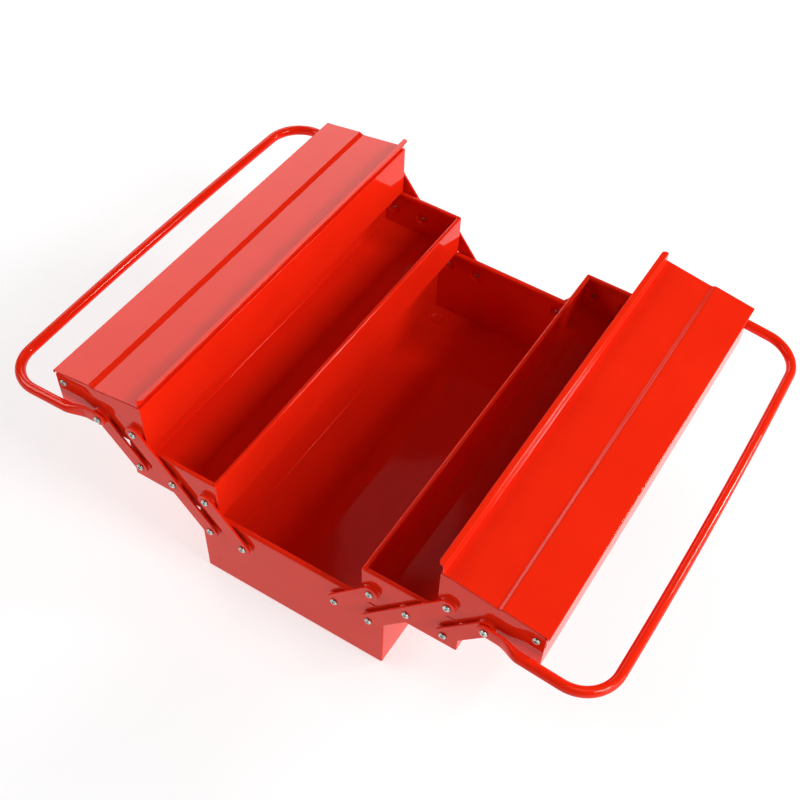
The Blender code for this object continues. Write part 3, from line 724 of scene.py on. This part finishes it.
def lid(side_name):
    """Sloped cover in one fold: hem, upper half, joggle, lower half, riser and flat lip, with hinge ears."""
    side = SIDES[side_name]
    node = "lid_" + side_name
    section = [(LID_OUTER_U, LID_OUTER_N - LID_HEM_DEPTH), (LID_OUTER_U, LID_OUTER_N)]
    section += [(LID_STEP_OUTER_U, LID_OUTER_N), (LID_STEP_INNER_U, LID_INNER_N)]
    section += [(LID_FOLD_U, LID_INNER_N), (LIP_ROOT_U, LIP_N), (LIP_EDGE_U, LIP_N)]
    bm = bmesh.new()
    chain = []
    for u, n in section:
        x, z = from_hinge(u, n)
        chain.append(bm.verts.new((x * side * MM, -PANEL_OUT * MM, z * MM)))
    edges = [bm.edges.new(pair) for pair in zip(chain, chain[1:])]
    grown = bmesh.ops.extrude_edge_only(bm, edges=edges)["geom"]
    far = [item for item in grown if isinstance(item, bmesh.types.BMVert)]
    bmesh.ops.translate(bm, verts=far, vec=(0.0, 2 * PANEL_OUT * MM, 0.0))
    bm.normal_update()
    widest = max(bm.faces, key=lambda face: face.calc_area())
    if widest.normal.z < 0:
        bmesh.ops.reverse_faces(bm, faces=bm.faces)
    cover = new_object("lid_cover_" + side_name, mesh_from_bmesh(node, bm))
    add_bevel(cover, LID_BEND_RADIUS, BEND_STEPS, 20.0)
    add_thickness(cover)

    flange = [(LID_FLANGE_END_U, LID_FLANGE_N + LID_FLANGE_CHAMFER)]
    flange += [(LID_FLANGE_END_U + LID_FLANGE_CHAMFER, LID_FLANGE_N), (LID_FLANGE_START_U, LID_FLANGE_N)]
    flange += arc(0.0, 0.0, LID_EAR_RADIUS, 200.0, 360.0, 24)
    flange += [(LID_EAR_RADIUS, LID_OUTER_N - SHEET / 2), (LID_STEP_OUTER_U, LID_OUTER_N - SHEET / 2)]
    flange += [(LID_STEP_INNER_U, LID_INNER_N - SHEET / 2), (LID_FLANGE_END_U, LID_INNER_N - SHEET / 2)]
    flange_xz = [from_hinge(u, n) for u, n in flange]
    for end_name, end in ENDS.items():
        ear = panel(node + "_ear_" + end_name, flange_xz, end * EAR_IN, end * EAR_OUT, side)
        add_boolean(cover, ear, "UNION")
        add_boolean(cover, lip_trim(node + "_trim_" + end_name, side, end), "DIFFERENCE")
    settle(cover)
    add_bevel(cover, EDGE_RADIUS, 2, 62.0, clamp=False)
    show(cover, node, [RED])


# ---------------------------------------------------------------- links, handles, rivets


def link(node, start, spans, side, end):
    """Flat bar with round ends and softened edges."""
    last = start + STEP * spans
    slope = math.degrees(math.atan2(STEP.z, STEP.x))
    outline = arc(start.x, start.z, LINK_WIDTH / 2, slope + 90.0, slope + 270.0, 28)
    outline += arc(last.x, last.z, LINK_WIDTH / 2, slope - 90.0, slope + 90.0, 28)
    bar = panel(node + "_bar", outline, end * LINK_IN, end * LINK_OUT, side)
    add_bevel(bar, LINK_EDGE_RADIUS, 3, 50.0)
    settle(bar)
    show(bar, node, [RED])


def handle_path():
    """Centre line of the bent tube, reach along X from the pivots, front end first."""
    r = BLADE_HALF_WIDTH
    front = [(-r * math.cos(math.radians(angle)), -TUBE_AXIS_Y) for angle in range(4, 90, 6)]
    steps = 26
    front += [(BLADE_BLEND_END * k / steps, -TUBE_AXIS_Y) for k in range(steps + 1)]
    corner = HANDLE_CORNER_RADIUS
    front += arc(HANDLE_REACH - corner, corner - TUBE_AXIS_Y, corner, -90.0, 0.0, 28)
    straight = TUBE_AXIS_Y - corner
    steps = 10
    for k in range(1, steps):
        y = -straight * (1.0 - k / steps)
        front.append((HANDLE_REACH + HANDLE_BOW * (1.0 - (y / straight) ** 2), y))
    middle = [(HANDLE_REACH + HANDLE_BOW, 0.0)]
    return front + middle + [(u, -y) for u, y in reversed(front)]


def press_flat(vert):
    """Move one vertex of the round tube to where it lies once the end is pressed to a blade."""
    u = vert.co.x / MM
    if u > BLADE_BLEND_END:
        return
    end = math.copysign(1.0, vert.co.y)
    thickness = BLADE_OUT - BLADE_IN
    roundness = smoothstep((u - BLADE_STRAIGHT) / (BLADE_BLEND_END - BLADE_STRAIGHT))
    half_width = BLADE_HALF_WIDTH
    if u < 0.0:
        half_width = math.sqrt(max(0.3, BLADE_HALF_WIDTH ** 2 - u ** 2))
    half_width += (TUBE_RADIUS - half_width) * roundness
    half_depth = (thickness + (2 * TUBE_RADIUS - thickness) * roundness) / 2
    blade_y = (BLADE_IN + BLADE_OUT) / 2
    centre_y = blade_y + (TUBE_AXIS_Y - blade_y) * roundness
    power = BLADE_FLATNESS + (1.0 - BLADE_FLATNESS) * roundness
    across = vert.co.z / MM / TUBE_RADIUS
    depth = (vert.co.y * end / MM - TUBE_AXIS_Y) / TUBE_RADIUS
    vert.co.z = half_width * math.copysign(abs(across) ** power, across) * MM
    vert.co.y = end * (centre_y + half_depth * math.copysign(abs(depth) ** power, depth)) * MM


def handle(side_name):
    side = SIDES[side_name]
    node = "handle_" + side_name
    curve = bpy.data.curves.new(node, "CURVE")
    curve.dimensions = "3D"
    curve.bevel_depth = TUBE_RADIUS * MM
    curve.bevel_resolution = 8
    curve.use_fill_caps = True
    spline = curve.splines.new("POLY")
    path = handle_path()
    spline.points.add(len(path) - 1)
    for point, (u, y) in zip(spline.points, path):
        point.co = (u * MM, y * MM, 0.0, 1.0)
    mesh = curve_to_mesh(curve, node)
    for vert in mesh.vertices:
        press_flat(vert)
    if side < 0:
        mesh.transform(Matrix.Scale(-1.0, 4, (1.0, 0.0, 0.0)))
        mesh.flip_normals()
    place = Matrix.Translation(mirrored(TOP_OUTER, side) * MM)
    mesh.transform(place @ Matrix.Rotation(math.radians(-HANDLE_REST_DEG[side_name] * side), 4, "Y"))
    show(new_object("handle_tube_" + side_name, mesh), node, [RED])


def rivet_mesh(name, grip):
    """Blind rivet turned about Z: domed head with the mandrel's hole, shank `grip` long, set tail below."""
    bore = MANDREL_RADIUS
    section = [(bore, 0.3), (bore, HEAD_HEIGHT - 0.25)]
    section += [(bore + 0.1, HEAD_HEIGHT - 0.05), (bore + 0.3, HEAD_HEIGHT)]
    dome_start = bore + 0.5
    for k in range(9):
        t = k / 8
        radius = dome_start + (HEAD_RADIUS - dome_start) * math.sin(t * math.pi / 2)
        section.append((radius, 0.5 + (HEAD_HEIGHT - 0.5) * math.cos(t * math.pi / 2)))
    section += [(HEAD_RADIUS, 0.15), (HEAD_RADIUS - 0.15, 0.0), (SHANK_RADIUS, 0.0), (SHANK_RADIUS, -grip)]
    for k in range(7):
        angle = math.radians(90.0 - 30.0 * k)
        height = -grip - TAIL_HEIGHT / 2 + TAIL_HEIGHT / 2 * math.sin(angle)
        section.append((SHANK_RADIUS + (TAIL_RADIUS - SHANK_RADIUS) * max(0.0, math.cos(angle)), height))
    section.append((0.0, -grip - TAIL_HEIGHT))
    bm = bmesh.new()
    lathe(bm, section, Matrix.Identity(4), RIVET_SIDES)
    # pin stub down in the hole; its near-black material is painted shade for the hole
    stub = [(0.0, 0.45), (bore * 0.7, 0.4), (bore, 0.3)]
    for face in lathe(bm, stub, Matrix.Identity(4), RIVET_SIDES):
        face.material_index = 1
    bmesh.ops.remove_doubles(bm, verts=bm.verts, dist=0.000002)
    bmesh.ops.recalc_face_normals(bm, faces=bm.faces)
    return mesh_from_bmesh(name, bm)


def rivet(node, mesh):
    """A rivet goes where its CAD node is, head outward."""
    low, high = corners(node)
    end = math.copysign(1.0, low.y)
    face = max(abs(low.y), abs(high.y)) - HEAD_HEIGHT
    piece = new_object(node + "_head", mesh.copy())
    turn = Matrix.Rotation(-end * math.pi / 2, 4, "X")
    spot = Vector(((low.x + high.x) / 2, end * face, (low.z + high.z) / 2)) * MM
    piece.data.transform(Matrix.Translation(spot) @ turn)
    show(piece, node, [ZINC, MANDREL])


def rivet_kind(node):
    """What a rivet goes through, which sets its length."""
    if "top_outer" in node:
        return "handle"
    if "lid_hinge" in node:
        return "lid"
    return "link"


def build():
    base_box()
    tray_grip = LINK_OUT - BOSS_OUT + SHEET + 2 * GAP
    meshes = {
        "link": rivet_mesh("rivet_link", tray_grip),
        "handle": rivet_mesh("rivet_handle", tray_grip + BLADE_OUT - LINK_OUT),
        "lid": rivet_mesh("rivet_lid", PANEL_OUT - EAR_IN + 2 * GAP),
    }
    for side_name, side in SIDES.items():
        mid_tray(side_name)
        top_tray(side_name)
        lid(side_name)
        handle(side_name)
        for end_name, end in ENDS.items():
            where = side_name + "_" + end_name
            link("long_link_" + where, BASE_OUTER, 2, side, end)
            link("lower_link_" + where, BASE_INNER, 1, side, end)
            link("upper_link_" + where, MID_OUTER, 1, side, end)
    for node in sorted(frame["nodes"]):
        if node.startswith("rivet_"):
            rivet(node, meshes[rivet_kind(node)])


# ---------------------------------------------------------------- stage, light and camera


FLOOR_HALF_SIZE = 6.0
FLOOR_CELLS = 8
FLOOR_DROP = 0.0002
LAMP_AIM = Vector((0.0, 0.0, 0.15))
LAMP_DISTANCE = 2.2
# name, azimuth and elevation in degrees, width and height in metres, radiance
LAMPS = [
    ("back_left", -50.0, 29.0, 1.5, 0.85, 2.9),
    ("back_right", 51.0, 26.0, 0.22, 0.95, 26.0),
    ("right", 95.0, 40.0, 0.7, 0.6, 17.5),
    ("right_low", 90.0, 14.0, 1.4, 0.6, 4.0),
    ("left", -112.0, 40.0, 1.2, 1.0, 5.0),
    ("top_right", 90.0, 66.0, 0.6, 0.6, 2.0),
    ("high_back", -30.0, 56.0, 0.35, 0.45, 0.35),
]
BACKDROP_PALE = 0.75
BACKDROP_DARK = 0.05
BACKDROP_FADE = (0.05, 0.3)
DISPLAY_GAMMA = 0.85


def floor():
    bm = bmesh.new()
    bmesh.ops.create_grid(bm, x_segments=FLOOR_CELLS, y_segments=FLOOR_CELLS, size=FLOOR_HALF_SIZE)
    plane = new_object("floor", mesh_from_bmesh("floor", bm))
    plane.location.z = cad_bounds[0].z - FLOOR_DROP
    plane.data.materials.append(floor_paper())


def softbox(name, azimuth_deg, elevation_deg, width, height, radiance):
    """Area light aimed at the middle of the object; azimuth is from +Y toward +X."""
    azimuth = math.radians(azimuth_deg)
    elevation = math.radians(elevation_deg)
    direction = Vector((math.sin(azimuth) * math.cos(elevation), math.cos(azimuth) * math.cos(elevation),
                        math.sin(elevation)))
    light = bpy.data.lights.new(name, "AREA")
    light.shape = "RECTANGLE"
    light.size = width
    light.size_y = height
    light.energy = radiance * math.pi * width * height
    holder = new_object(name, light)
    holder.location = LAMP_AIM + direction * LAMP_DISTANCE
    holder.rotation_euler = direction.to_track_quat("Z", "Y").to_euler()
    holder.visible_camera = False


def backdrop():
    """World that is pale near the horizon, like a paper sweep, and dark overhead."""
    world = bpy.data.worlds.new("studio")
    bpy.context.scene.world = world
    world.use_nodes = True
    nodes = Nodes(world.node_tree)
    height = nodes.add("ShaderNodeSeparateXYZ")
    nodes.link(nodes.add("ShaderNodeTexCoord").outputs["Generated"], height.inputs["Vector"])
    background = world.node_tree.nodes["Background"]
    background.inputs["Color"].default_value = WHITE
    strength = nodes.spread(height.outputs["Z"], *BACKDROP_FADE, BACKDROP_PALE, BACKDROP_DARK)
    nodes.link(strength, background.inputs["Strength"])


def studio():
    for lamp in LAMPS:
        softbox(*lamp)
    backdrop()


# where the photographer stood
CAMERA_PLACE = Vector((356.7, -653.8, 977.7))
CAMERA_AZIMUTH_DEG = 26.36
CAMERA_ELEVATION_DEG = 53.31
CAMERA_ROLL_DEG = 5.67
CAMERA_LENS = 52.28
CAMERA_SHIFT = (-0.0472, 0.0974)


def camera():
    data = bpy.data.cameras.new("camera")
    data.sensor_width = 36.0
    data.lens = CAMERA_LENS
    data.shift_x, data.shift_y = CAMERA_SHIFT
    data.clip_start, data.clip_end = 0.05, 50.0
    holder = new_object("camera", data)
    holder.location = CAMERA_PLACE * MM
    azimuth = Matrix.Rotation(math.radians(CAMERA_AZIMUTH_DEG), 4, "Z")
    pitch = Matrix.Rotation(math.radians(90.0 - CAMERA_ELEVATION_DEG), 4, "X")
    roll = Matrix.Rotation(math.radians(CAMERA_ROLL_DEG), 4, "Z")
    holder.rotation_euler = (azimuth @ pitch @ roll).to_euler()
    bpy.context.scene.camera = holder


build()
floor()
studio()
camera()
bpy.context.scene.view_settings.view_transform = "Standard"
bpy.context.scene.view_settings.gamma = DISPLAY_GAMMA
